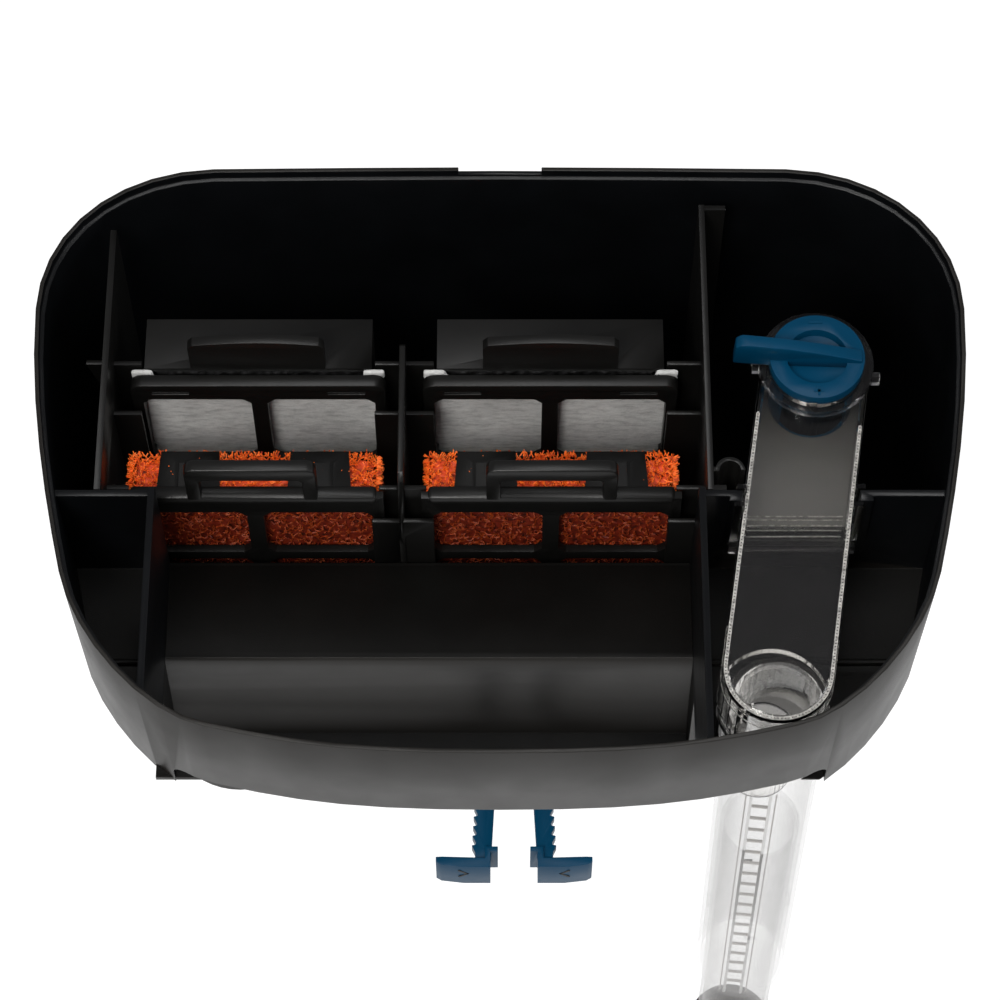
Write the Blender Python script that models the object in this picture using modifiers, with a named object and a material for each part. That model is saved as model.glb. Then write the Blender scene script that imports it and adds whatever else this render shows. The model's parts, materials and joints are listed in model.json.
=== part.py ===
"""Hang-on-back aquarium filter with its lid off, built as separate parts.

Frame: the origin is on the flat face under the bridge that rests on the aquarium's glass.
+Z is up, +Y points away from the tank, towards the deep chamber, and X runs along the glass.
Every size below is in millimetres. place() turns each finished part into metres.
"""

import math

import bmesh
import bpy
from mathutils import Matrix, Vector

MM = 0.001
GAP = 0.3  # air between parts that touch
FAR = 250.0  # longer than any part, for cutters

# Body
HALF_WIDTH = 150.5
BACK_Y = 136.6
FRONT_Y = -74.0
RIM_Z = 62.0
BOTTOM_Z = -138.0
WALL = 2.4
SHEET = 2.2  # inner walls
FLOOR_Z = 2.2
CREST = Vector((0, -15.0, 2.6))
LIP = Vector((0, -20.6, -42.0))
APRON_Y = (-22.8, -20.6)
APRON_BOTTOM_Z = -62.0
GLASS_FACE_Y = 17.6  # outer face of the deep chamber, against the glass
DIVIDER_TOP_Z = 54.0
SPILL_LEFT_X = -109.4
SPILL_RIGHT_X = 63.0
SKIRT_HALF = 104.0
SKIRT_Z = 14.5
PLATE_FRONT_Y = -57.0
BLANK = Vector((-84.0, -33.0, 0))  # the unused socket on the left

# Intake and pump axes
TUBE = Vector((88.2, -40.8, 0))
PUMP = Vector((102.6, 67.0, 0))
TUBE_R = 16.6
TUBE_BORE_R = 15.1
TUBE_TOP_Z = 20.0
TUBE_BOTTOM_Z = -215.0
TUBE_LEAN = math.radians(0.92)  # the telescopic tube leans outward on its spigot
EXT_R = 13.6
EXT_BORE_R = 12.2
EXT_TOP_Z = -76.0
EXT_BOTTOM_Z = -300.0
RUNG_PITCH = 10.9
ELBOW_END = Vector((86.4, -40.8, 0))  # the axis of the channel's front end
SPOUT = Vector((85.2, -40.8, 0))  # the elbow's narrow outlet inside the tube
SPOUT_R = 11.4
SPOUT_BOTTOM_Z = -27.0
BLADE_TURN = math.radians(2.2)  # the lever's far end sits this far back
LADDER_TURN = math.radians(6)  # about the tube, from its back towards +X
ELBOW_R = 17.7
ELBOW_WALL = 1.8
ELBOW_TOP_Z = 50.0
ELBOW_FLOOR_Z = 25.0
KNOB_R = 15.4
KNOB_TOP_Z = 57.0
BARREL_R = 13.7

# Cartridges
BAY_X = (-79.6, 16.6)
CARTRIDGE_W = 84.0
WINDOW_W = 35.6
MULLION_W = 5.4
FOAM_FACE_Y = 24.0
FLEECE_FACE_Y = 65.5
CARTRIDGE_BOTTOM_Z = -118.0
DIVIDER_X = (-128.0, -32.0, 67.0)

# Clamp
CLAMP_X = 4.7
ARM_PIVOT = Vector((7.8, -17.6, -51.0))
ARM_HALF_H = 2.2
ARM_W = 5.4
PAD_FRONT_Y = -68.9
TOOTH_PITCH = 3.44
TOOTH_DEPTH = 1.3

COLLECTION = "hang_on_filter"


# ---------------------------------------------------------------- tools


def clear_scene():
    for old in list(bpy.data.objects):
        bpy.data.objects.remove(old, do_unlink=True)


def material(name, color, roughness, metallic=0.0, transmission=0.0):
    made = bpy.data.materials.new(name)
    made.use_nodes = True
    shader = made.node_tree.nodes["Principled BSDF"]
    shader.inputs["Base Color"].default_value = (*color, 1.0)
    shader.inputs["Roughness"].default_value = roughness
    shader.inputs["Metallic"].default_value = metallic
    shader.inputs["Transmission Weight"].default_value = transmission
    return made


def solid(mesh_maker):
    """An object whose mesh is filled by mesh_maker(bm), with its faces pointing out."""
    mesh = bpy.data.meshes.new("solid")
    bm = bmesh.new()
    mesh_maker(bm)
    bmesh.ops.recalc_face_normals(bm, faces=bm.faces)
    bm.to_mesh(mesh)
    bm.free()
    made = bpy.data.objects.new("solid", mesh)
    bpy.context.scene.collection.objects.link(made)
    return made


def block(x, y, z):
    """A box between two limits on each axis."""
    size = Matrix.Diagonal((x[1] - x[0], y[1] - y[0], z[1] - z[0], 1))
    centre = Matrix.Translation((sum(x) / 2, sum(y) / 2, sum(z) / 2))
    return solid(lambda bm: bmesh.ops.create_cube(bm, size=1, matrix=centre @ size))


def disc(centre, z, radius, top_radius=None, sides=40):
    """An upright cylinder or cone between two heights, centred on a point in plan."""
    upper = radius if top_radius is None else top_radius
    middle = Matrix.Translation((centre[0], centre[1], sum(z) / 2))
    return solid(
        lambda bm: bmesh.ops.create_cone(
            bm,
            cap_ends=True,
            segments=sides,
            radius1=radius,
            radius2=upper,
            depth=z[1] - z[0],
            matrix=middle,
        )
    )


def ring(centre, z, radius, bore, sides=40):
    made = disc(centre, z, radius, sides=sides)
    return cut(made, disc(centre, (z[0] - 1, z[1] + 1), bore, sides=sides))


def prism(outline, low, high, turn=None):
    """A flat outline of (x, y) points with a thickness from low to high along Z, then turned."""
    curve = bpy.data.curves.new("outline", "CURVE")
    curve.dimensions = "2D"
    curve.fill_mode = "BOTH"
    curve.extrude = (high - low) / 2
    spline = curve.splines.new("POLY")
    spline.points.add(len(outline) - 1)
    for point, (x, y) in zip(spline.points, outline):
        point.co = (x, y, 0, 1)
    spline.use_cyclic_u = True
    drawn = bpy.data.objects.new("outline", curve)
    bpy.context.scene.collection.objects.link(drawn)
    bpy.context.view_layer.update()
    flat = bpy.data.meshes.new_from_object(drawn.evaluated_get(bpy.context.evaluated_depsgraph_get()))
    bpy.data.objects.remove(drawn, do_unlink=True)

    def fill(bm):
        bm.from_mesh(flat)
        bmesh.ops.remove_doubles(bm, verts=bm.verts, dist=0.001)
        bmesh.ops.translate(bm, verts=bm.verts, vec=(0, 0, (low + high) / 2))

    made = solid(fill)
    if turn is not None:
        made.data.transform(turn)
    return made


# An outline of (x, z) points extruded along Y, and one of (y, z) points extruded along X.
FACING_FRONT = Matrix(((1, 0, 0, 0), (0, 0, 1, 0), (0, 1, 0, 0), (0, 0, 0, 1)))
FACING_SIDE = Matrix(((0, 0, 1, 0), (1, 0, 0, 0), (0, 1, 0, 0), (0, 0, 0, 1)))


def facing(outline, low, high, turn):
    made = prism(outline, low, high, turn)
    if turn.determinant() < 0:
        made.data.flip_normals()
    return made


def loft(rings):
    """A closed solid through rings that have the same number of points."""

    def fill(bm):
        levels = [[bm.verts.new(p) for p in ring_points] for ring_points in rings]
        count = len(levels[0])
        for lower, upper in zip(levels, levels[1:]):
            for i in range(count):
                j = (i + 1) % count
                bm.faces.new((lower[i], lower[j], upper[j], upper[i]))
        bm.faces.new(levels[0])
        bm.faces.new(levels[-1])

    return solid(fill)


def combine(target, others, operation):
    """Applies one Boolean per tool to target, and removes the tools."""
    for tool in others:
        modifier = target.modifiers.new("boolean", "BOOLEAN")
        modifier.operation = operation
        modifier.object = tool
    bpy.context.view_layer.update()
    evaluated = target.evaluated_get(bpy.context.evaluated_depsgraph_get())
    mesh = bpy.data.meshes.new_from_object(evaluated)
    target.modifiers.clear()
    target.data = mesh
    for tool in others:
        bpy.data.objects.remove(tool, do_unlink=True)
    return target


def cut(target, *tools):
    return combine(target, tools, "DIFFERENCE")


def join(target, *tools):
    return combine(target, tools, "UNION")


def keep(target, *tools):
    return combine(target, tools, "INTERSECT")


def rounded(target, width, segments=2, angle=40):
    """Bevels the edges sharper than an angle."""
    modifier = target.modifiers.new("bevel", "BEVEL")
    modifier.width = width
    modifier.segments = segments
    modifier.limit_method = "ANGLE"
    modifier.angle_limit = math.radians(angle)
    modifier.harden_normals = False
    return combine(target, (), "UNION")


def place(made, name, slot, origin=(0, 0, 0)):
    """Names a finished part, gives it its material, turns it into metres and sets its origin."""
    origin = Vector(origin) * MM
    made.data.transform(Matrix.Translation(-origin) @ Matrix.Diagonal((MM, MM, MM, 1)))
    made.location = origin
    made.name = name
    made.data.name = name
    made.data.materials.clear()
    made.data.materials.append(MATERIALS[slot])
    made.data.shade_smooth()
    made.data.set_sharp_from_angle(angle=math.radians(35))
    for owner in list(made.users_collection):
        owner.objects.unlink(made)
    PARTS.objects.link(made)
    return made


# ---------------------------------------------------------------- body


def bezier(a, b, c, d, count):
    """Points along a cubic curve, without its last one."""
    points = []
    for i in range(count):
        t = i / count
        s = 1 - t
        weights = (s**3, 3 * s * s * t, 3 * s * t * t, t**3)
        points.append(
            tuple(sum(w * p[k] for w, p in zip(weights, (a, b, c, d))) for k in (0, 1))
        )
    return points


def rim_outline():
    """The rim's outer edge in plan, clockwise from the middle of its back."""
    side = HALF_WIDTH
    half = [(0.0, BACK_Y), (50.0, BACK_Y - 0.3)]
    half += bezier((95, BACK_Y - 0.8), (128, BACK_Y - 2), (side, 112), (side, 82), 9)
    half += bezier((side, 82), (side, 48), (143, 12), (137, -13), 6)
    half += bezier((137, -13), (132, -34.5), (108.5, -61.5), (90, -65), 8)
    half += bezier((90, -65), (62, -71.8), (42, FRONT_Y), (0, FRONT_Y), 6)
    return half + [(0.0, FRONT_Y)] + [(-x, y) for x, y in reversed(half[1:])]


def inset(outline, distance):
    """The outline moved inwards by a distance."""
    moved = []
    for i, point in enumerate(outline):
        before, after = outline[i - 1], outline[(i + 1) % len(outline)]
        along = Vector((after[0] - before[0], after[1] - before[1])).normalized()
        moved.append((point[0] + along.y * distance, point[1] - along.x * distance))
    return moved


def draft(z):
    """How far the outer wall has moved inwards at a height, towards the round bottom edge."""
    if z >= 0:
        return 1.0 * (RIM_Z - z) / RIM_Z
    slope = 1.0 - 6.0 * z / 122.0
    turn = min(max((-z - 122.0) / 16.0, 0.0), 1.0)
    return slope + 13.0 * (1 - math.sqrt(1 - turn * turn))


def shell_loft(extra, bottom, top, levels=(0.0, -60.0, -122.0, -129.0, -134.5, -137.0)):
    """The body's outer form moved inwards by extra, from a bottom height to a top one."""
    heights = [bottom] + sorted(z for z in levels if bottom < z < top) + [top]
    outline = rim_outline()
    return loft(
        [
            [(x, y, z) for x, y in inset(outline, draft(min(z, RIM_Z)) + extra)]
            for z in heights
        ]
    )


def inner_web(x, y, z):
    """A wall or floor inside the body: a box clipped half-way through the outer wall."""
    return keep(block(x, y, z), shell_loft(WALL / 2, BOTTOM_Z + WALL / 2, RIM_Z))


def lying_disc(x, z, y, radius, sides=48):
    """A cylinder along Y between two distances."""
    made = disc((0, 0), y, radius, sides=sides)
    made.data.transform(Matrix.Translation((x, 0, z)) @ FACING_FRONT)
    made.data.flip_normals()
    return made


def spillway():
    """The floor's round crest, the steep fall below it and a small lip, as one even sheet."""
    upper = [(GLASS_FACE_Y + 1, FLOOR_Z), (CREST.y + 4, FLOOR_Z), (CREST.y + 2, CREST.z)]
    fall = bezier((CREST.y, CREST.z), (-17.6, 2.4), (-16.6, -20), (LIP.y, LIP.z), 8)
    upper += fall + [(LIP.y - 1.6, LIP.z - 0.9), (LIP.y - 9.5, LIP.z - 1.4)]
    lower = [(LIP.y - 9.5, LIP.z - 3.4), (LIP.y + SHEET, LIP.z - 3.4)]
    lower += [(y + SHEET + 0.3, z - 1.2) for y, z in reversed(fall[1:])]
    lower += [(CREST.y + 2.6, 0), (GLASS_FACE_Y + 1, 0)]
    return facing(upper + lower, SPILL_LEFT_X - 1, SPILL_RIGHT_X + 1, FACING_SIDE)


def apron():
    """The wall below the lip, with one notch whose side edges stop the clamp arms' teeth."""
    x = (SPILL_LEFT_X - SHEET, SPILL_RIGHT_X + SHEET)
    made = block(x, APRON_Y, (APRON_BOTTOM_Z, LIP.z - 1.5))
    notch = block((CLAMP_X - 14.2, CLAMP_X + 14.2), (-40, -12), (-FAR, ARM_PIVOT.z + 5.8))
    return cut(made, notch)


def blank_socket():
    """The strip behind the skirt's left end and the round boss under it."""
    y = (PLATE_FRONT_Y, PLATE_FRONT_Y + 12)
    strip = block((SPILL_LEFT_X - 1, -62), y, (0, 2.2))
    boss = disc(BLANK, (-8, 1), 24.2, 22.6, sides=48)
    return join(strip, keep(boss, block((-FAR, FAR), (-FAR, y[1]), (-FAR, FAR))))


def pocket_floor(x, crest_x):
    """A side pocket's floor: the bridge's level, then the plate that closes the hood."""
    edge = CREST.y - 1.2
    level = inner_web(x, (edge, GLASS_FACE_Y + 1), (0, FLOOR_Z))
    round_edge = [(edge + 1.2 * math.cos(a), 1.0 + 1.6 * math.sin(a)) for a in
                  [math.pi * i / 6 for i in range(7)]]
    ridge = facing(round_edge, *crest_x, FACING_SIDE)
    ridge = keep(ridge, shell_loft(WALL / 2, BOTTOM_Z + WALL / 2, RIM_Z))
    plate = inner_web(x, (PLATE_FRONT_Y, edge + 1), (0, 0.9))
    return level, ridge, plate


def skirt_slot():
    """The outlet's opening under the skirt, with round upper corners."""
    r = 6.0
    outline = [(-SKIRT_HALF, -10), (-SKIRT_HALF, SKIRT_Z - r)]
    for i in range(1, 6):
        a = math.pi - math.pi / 2 * i / 6
        outline.append((-SKIRT_HALF + r + r * math.cos(a), SKIRT_Z - r + r * math.sin(a)))
    outline.append((-SKIRT_HALF + r, SKIRT_Z))
    outline += [(-x, z) for x, z in reversed(outline)]
    return facing(outline, -FAR, -45, FACING_FRONT)


def saddle(x0, x1):
    """The thick U-shaped edge of the notch that the elbow's flanges hold."""
    y = (GLASS_FACE_Y - 1.7, GLASS_FACE_Y + SHEET)
    made = block((x0 - 4, x1 + 4), y, (ELBOW_FLOOR_Z - 6, DIVIDER_TOP_Z))
    return cut(made, block((x0, x1), (0, 40), (ELBOW_FLOOR_Z - 2, FAR)))


def filter_body():
    shell = cut(
        shell_loft(0, BOTTOM_Z, RIM_Z),
        block((-FAR, FAR), (-FAR, GLASS_FACE_Y), (-FAR, 0)),
        shell_loft(WALL, BOTTOM_Z + WALL + 0.2, RIM_Z + 5),
        skirt_slot(),
    )
    lid_seat = shell_loft(WALL - 1.1, RIM_Z - 3.5, RIM_Z + 6, levels=())
    back_notch = block((-13.8, 13.8), (125, FAR), (RIM_Z - 2.2, RIM_Z + 5))
    shell = cut(shell, lid_seat, back_notch)
    y_wall = (GLASS_FACE_Y, GLASS_FACE_Y + SHEET)
    left_x, right_x = SPILL_LEFT_X - SHEET, SPILL_RIGHT_X + SHEET
    webs = [
        inner_web((-FAR, FAR), y_wall, (-FAR, FLOOR_Z - 0.1)),
        inner_web((-FAR, left_x + 1), y_wall, (1, DIVIDER_TOP_Z)),
        inner_web((right_x - 1, FAR), y_wall, (1, DIVIDER_TOP_Z)),
        inner_web((left_x, SPILL_LEFT_X), (-FAR, y_wall[1]), (0.2, DIVIDER_TOP_Z + 2)),
        inner_web((SPILL_RIGHT_X, right_x), (-FAR, y_wall[1]), (0.2, DIVIDER_TOP_Z + 2)),
        *pocket_floor((-FAR, SPILL_LEFT_X - 0.5), (-FAR, SPILL_LEFT_X - 0.5)),
        *pocket_floor((SPILL_RIGHT_X + 0.5, FAR), (SPILL_RIGHT_X + 0.5, FAR)),
    ]
    cheeks = [
        block(x, (LIP.y - 9.5, CREST.y + 3), (LIP.z - 3.4, 1))
        for x in ((left_x, SPILL_LEFT_X), (SPILL_RIGHT_X, right_x))
    ]
    x0, x1 = 76.8, 114.4
    shell = join(shell, *webs, spillway(), apron(), *cheeks, blank_socket(), saddle(x0, x1))
    elbow_notch = block((x0, x1), (0, 30), (ELBOW_FLOOR_Z - 2, FAR))
    tube_axis = TUBE + Vector((0.5, 0, 0))
    tube_hole = disc(tube_axis, (-20, 20), TUBE_R + 1.5, sides=32)
    collar = disc(tube_axis, (-11, 1), TUBE_R + 3.5, sides=32)
    shell = join(shell, keep(collar, block((-FAR, FAR), (TUBE.y - 9, FAR), (-FAR, FAR))))
    pump_hole = disc(PUMP, (BOTTOM_Z - 5, BOTTOM_Z + 8), 24)
    wall_foot = block((SPILL_RIGHT_X - 1, right_x + 1), (-FAR, -57), (-FAR, SKIRT_Z))
    shell = cut(shell, elbow_notch, tube_hole, pump_hole, wall_foot)
    boss = block((-8, 8), (GLASS_FACE_Y + 5, GLASS_FACE_Y + 30), (BOTTOM_Z - 13, BOTTOM_Z + 1))
    shell = cut(join(shell, boss), lying_disc(0, BOTTOM_Z - 7, (0, GLASS_FACE_Y + 27), 4.1, 24))
    return place(shell, "filter_body", "black_shell")


def level_foot():
    """A round pad on a stem that slides out to hold the box upright against the glass."""
    stem = lying_disc(0, BOTTOM_Z - 7, (GLASS_FACE_Y + 2, GLASS_FACE_Y + 26.5), 4.0, 24)
    pad = lying_disc(0, BOTTOM_Z - 7, (GLASS_FACE_Y, GLASS_FACE_Y + 3), 6.6, 24)
    place(join(pad, stem), "level_foot", "rubber", (0, GLASS_FACE_Y, BOTTOM_Z - 7))


# ---------------------------------------------------------------- dividers


REAR_RIBS = ((74.0, 40.5, 38.3), (59.5, 33.0, 38.3))  # y, top height, opening's half-width
FRONT_RIBS = ((29.2, 38.0, 40.4), (21.8, 29.0, 38.0))


def ribs(face, bay):
    """The guide ribs that reach from a divider's face towards a bay."""
    made = []
    for y, top, half in REAR_RIBS + FRONT_RIBS:
        tip = bay + half if face > bay else bay - half
        low, high = sorted((face - 0.5 if tip > face else face + 0.5, tip))
        made.append(block((low, high), (y - 0.8, y + 0.8), (-110, top)))
    return made


def trimmed(made):
    """The divider clipped to the room inside the outer walls."""
    return keep(made, shell_loft(WALL + GAP, BOTTOM_Z + WALL + 0.6, RIM_Z))


def dividers():
    front, bottom = GLASS_FACE_Y + SHEET + GAP, BOTTOM_Z + WALL + 0.6
    left, middle, right = DIVIDER_X
    made = trimmed(block((left - 1, left + 1), (front, 117), (bottom, DIVIDER_TOP_Z)))
    gusset = facing([(left, 41), (left - 8, 41), (left, 8)], 73.2, 74.8, FACING_FRONT)
    place(join(made, gusset, *ribs(left + 1, BAY_X[0])), "divider_left", "black_inner")

    profile = [(front, bottom), (78.6, bottom), (78.6, 45), (76.8, 47)]
    profile += [(30, 47), (27.5, 45), (front, 15)]
    made = facing(profile, middle - 1, middle + 1, FACING_SIDE)
    both = ribs(middle - 1, BAY_X[0]) + ribs(middle + 1, BAY_X[1])
    place(join(made, *both), "divider_middle", "black_inner")

    made = block((right - 1, right + 1), (front, 127), (bottom, DIVIDER_TOP_Z))
    curl = block((right, right + 8), (125.2, 127), (bottom, DIVIDER_TOP_Z - 0.5))
    made = trimmed(join(made, curl))
    lips = [
        block((right, right + 5), (front, front + 1.8), (bottom + 1, DIVIDER_TOP_Z - 0.5)),
    ]
    hook = ring((right + 6.4, 27.5), (-100, DIVIDER_TOP_Z - 1), 4.8, 3.4, sides=24)
    hook = cut(hook, block((right - 5, right + 20), (10, 27.6), (-FAR, FAR)))
    bridge = block((right, right + 2.8), (27.4, 29.0), (-99, DIVIDER_TOP_Z - 1.5))
    duct = lying_disc(0, 0, (0, 9.5), 7.0, 32)
    duct.data.transform(Matrix.Translation((right, PUMP.y, -60)) @ Matrix.Rotation(-math.pi / 2, 4, "Z"))
    window = block((right - 4, right + 4), (PUMP.y - 5, PUMP.y + 5), (-128, -112))
    made = join(made, *ribs(right - 1, BAY_X[1]), *lips, hook, bridge, duct)
    place(cut(made, window), "divider_right", "black_inner")


# ---------------------------------------------------------------- intake


def stadium(a, b, radius, sides=14):
    """The outline of a round-ended slot in plan between two axes."""
    along = (b - a).normalized()
    start = math.atan2(along.y, along.x)
    points = []
    for centre, first in ((b, start - math.pi / 2), (a, start + math.pi / 2)):
        for i in range(sides + 1):
            angle = first + math.pi * i / sides
            points.append((centre.x + radius * math.cos(angle), centre.y + radius * math.sin(angle)))
    return points


def intake_elbow():
    """A clear channel from the pump's axis to the tube's, with an upright neck at each end."""
    outline = stadium(PUMP, ELBOW_END, ELBOW_R)
    flat = prism(outline, ELBOW_FLOOR_Z, ELBOW_TOP_Z - 2)
    crown = loft(
        [
            [(x, y, ELBOW_TOP_Z - 2.5) for x, y in outline],
            [(x, y, ELBOW_TOP_Z - 0.7) for x, y in stadium(PUMP, ELBOW_END, ELBOW_R - 0.7)],
            [(x, y, ELBOW_TOP_Z) for x, y in stadium(PUMP, ELBOW_END, ELBOW_R - 2.2)],
        ]
    )
    made = join(
        flat,
        crown,
        disc(PUMP, (-96, ELBOW_FLOOR_Z + 1), 15.4),
        disc(TUBE, (-2, ELBOW_FLOOR_Z + 1), TUBE_BORE_R - 0.5),
        disc(SPOUT, (SPOUT_BOTTOM_Z, 1), SPOUT_R),
        disc(PUMP, (ELBOW_TOP_Z - 3, ELBOW_TOP_Z + 3.2), 18.6, sides=48),
        disc(ELBOW_END, (TUBE_TOP_Z + 0.5, ELBOW_FLOOR_Z + 1), ELBOW_R + 0.2, sides=48),
    )
    inner = prism(
        stadium(PUMP, ELBOW_END, ELBOW_R - ELBOW_WALL),
        ELBOW_FLOOR_Z + ELBOW_WALL,
        ELBOW_TOP_Z - ELBOW_WALL,
    )
    made = cut(
        made,
        inner,
        disc(PUMP, (-110, ELBOW_TOP_Z + 1), BARREL_R + 0.1, sides=48),
        disc(PUMP, (ELBOW_TOP_Z - 0.5, ELBOW_TOP_Z + 8), KNOB_R + 0.1, sides=48),
        disc(TUBE, (0, ELBOW_FLOOR_Z + 5), TUBE_BORE_R - 2.3),
        disc(SPOUT, (SPOUT_BOTTOM_Z - 5, 2), SPOUT_R - 1.2),
    )
    slope = (PUMP.x - ELBOW_END.x) / (PUMP.y - ELBOW_END.y)
    for y in (GLASS_FACE_Y - 3.7, GLASS_FACE_Y + SHEET + 0.4):
        x = ELBOW_END.x + (y + 1 - ELBOW_END.y) * slope
        deep = (y, y + 1.6)
        ears = [
            block(sorted((x + side * 17.2, x + side * 20.4)), deep, (ELBOW_FLOOR_Z + 5, 54.4))
            for side in (-1, 1)
        ]
        sill = block((x - 20.4, x + 20.4), deep, (ELBOW_FLOOR_Z - 4.4, ELBOW_FLOOR_Z + 0.6))
        made = join(made, sill, *ears)
    lugs = [
        block((PUMP.x + side * 18.6 - 2, PUMP.x + side * 18.6 + 2), (y, y + 2.6), (47.4, 51.4))
        for side, y in ((-1, PUMP.y - 1), (1, PUMP.y - 5.4))
    ]
    pointer = prism(
        [(PUMP.x - 3.8, PUMP.y - 15.9), (PUMP.x - 0.4, PUMP.y - 15.9), (PUMP.x - 2.1, PUMP.y - 18.2)],
        ELBOW_TOP_Z + 2,
        ELBOW_TOP_Z + 4.6,
    )
    return place(join(made, pointer, *lugs), "intake_elbow", "clear_plastic")


def leaned(made):
    """The part turned about the spigot's middle, so that its foot stands further out."""
    pivot = Matrix.Translation((TUBE.x, TUBE.y, 7.5))
    made.data.transform(pivot @ Matrix.Rotation(-TUBE_LEAN, 4, "Y") @ pivot.inverted())
    return made


def ladder():
    """Two rails with rungs, and a thin toothed guide outside each, on the tube's inner back."""
    wall, low, high = EXT_BORE_R + 0.5, -292.0, EXT_TOP_Z - 1.2
    made = []
    for side in (-1, 1):
        for offset, width, deep, bottom in ((3.35, 1.0, 1.4, low), (5.2, 0.7, 1.9, low + 6)):
            x = TUBE.x + side * offset
            made.append(block((x - width / 2, x + width / 2), (wall - deep, wall), (bottom, high)))
    for i in range(19):
        top = high - 3.2 - i * RUNG_PITCH
        made.append(block((TUBE.x - 3.2, TUBE.x + 3.2), (wall - 1.1, wall), (top - 0.9, top)))
    for piece in made:
        piece.data.transform(Matrix.Translation((-TUBE.x, 0, 0)))
        piece.data.transform(Matrix.Rotation(-LADDER_TURN, 4, "Z"))
        piece.data.transform(Matrix.Translation((TUBE.x, TUBE.y, 0)))
    return made


def intake_tubes():
    """The fixed tube, and the narrower one that slides inside it with its strainer."""
    tube = ring(TUBE, (TUBE_BOTTOM_Z, TUBE_TOP_Z), TUBE_R, TUBE_BORE_R, sides=48)
    place(leaned(tube), "intake_tube", "clear_plastic")

    extension = disc(TUBE, (EXT_BOTTOM_Z - 10, EXT_TOP_Z), EXT_R, sides=48)
    bumps = [
        block((TUBE.x - 2, TUBE.x + 2), (TUBE.y + side * EXT_R - 1.4, TUBE.y + side * EXT_R + 1.4),
              (TUBE_BOTTOM_Z + 60, TUBE_BOTTOM_Z + 64))
        for side in (-1, 1)
    ]
    bumps += [
        block((TUBE.x + side * EXT_R - 1.4, TUBE.x + side * EXT_R + 1.4), (TUBE.y - 2, TUBE.y + 2),
              (TUBE_BOTTOM_Z + 60, TUBE_BOTTOM_Z + 64))
        for side in (-1, 1)
    ]
    bumps = [
        keep(bump, disc(TUBE, (TUBE_BOTTOM_Z, 0), TUBE_BORE_R - 0.09, sides=48)) for bump in bumps
    ]
    extension = join(extension, *bumps)
    bore = disc(TUBE, (EXT_BOTTOM_Z - 15, EXT_TOP_Z + 5), EXT_BORE_R, sides=48)
    extension = join(cut(extension, bore), *ladder())
    origin = (TUBE.x, TUBE.y, EXT_TOP_Z)
    place(leaned(extension), "extension_tube", "clear_plastic", origin)

    top = EXT_BOTTOM_Z + 4
    basket = disc(TUBE, (EXT_BOTTOM_Z - 56, top), 16.6, sides=32)
    basket = cut(
        basket,
        disc(TUBE, (EXT_BOTTOM_Z - 10 - GAP, top + 5), EXT_R + 0.1, sides=32),
        disc(TUBE, (EXT_BOTTOM_Z - 54, top + 5), EXT_BORE_R - 0.6, sides=32),
    )
    slots = []
    for turn in range(6):
        for level in range(3):
            slot = block((-40, 40), (-1.9, 1.9), (0, 9))
            height = EXT_BOTTOM_Z - 50.5 + level * 12
            spin = Matrix.Rotation(math.pi * turn / 6, 4, "Z")
            slot.data.transform(Matrix.Translation((TUBE.x, TUBE.y, height)) @ spin)
            slots.append(slot)
    place(leaned(cut(basket, *slots)), "strainer", "black_inner", origin)
    seal = ring(TUBE, (6, 9), TUBE_BORE_R - 0.08, TUBE_BORE_R - 0.4, sides=48)
    place(seal, "elbow_seal", "rubber")


def flow_knob():
    """A dial with a lever blade on top and a valve barrel with a side window below."""
    made = disc(PUMP, (ELBOW_TOP_Z, KNOB_TOP_Z), KNOB_R, sides=48)
    dish = disc(PUMP, (KNOB_TOP_Z - 3.2, KNOB_TOP_Z + 2), 9.6, 10.2)
    made = cut(made, dish)
    barrel = disc(PUMP, (ELBOW_FLOOR_Z - 4, ELBOW_TOP_Z + 1), BARREL_R)
    made = join(made, barrel)
    bore = disc(PUMP, (ELBOW_FLOOR_Z - 10, ELBOW_TOP_Z - 1), BARREL_R - 1.6)
    window = block((PUMP.x - 10.5, PUMP.x + 10.5), (PUMP.y - 25, PUMP.y), (ELBOW_FLOOR_Z, ELBOW_TOP_Z - 4))
    made = cut(made, bore, window)
    left, right = PUMP.x - 26.4, PUMP.x + 14.6
    blade = [
        (right, KNOB_TOP_Z - 3.3),
        (right, KNOB_TOP_Z + 1.2),
        (PUMP.x + 8, KNOB_TOP_Z + 3.2),
        (PUMP.x, KNOB_TOP_Z + 5.2),
        (PUMP.x - 10, KNOB_TOP_Z + 7.2),
        (left + 4, KNOB_TOP_Z + 8.7),
        (left + 1, KNOB_TOP_Z + 8.5),
        (left - 0.4, KNOB_TOP_Z + 7.0),
        (left - 0.8, KNOB_TOP_Z - 2.4),
        (PUMP.x - KNOB_R, KNOB_TOP_Z - 3.3),
    ]
    blade = rounded(facing(blade, -2.1, 2.1, FACING_FRONT), 0.8)
    turn = Matrix.Translation((PUMP.x, PUMP.y, 0)) @ Matrix.Rotation(-BLADE_TURN, 4, "Z")
    blade.data.transform(turn @ Matrix.Translation((-PUMP.x, 0, 0)))
    made = join(made, blade)
    place(made, "flow_knob", "blue_plastic", (PUMP.x, PUMP.y, KNOB_TOP_Z))


# ---------------------------------------------------------------- pump


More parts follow.
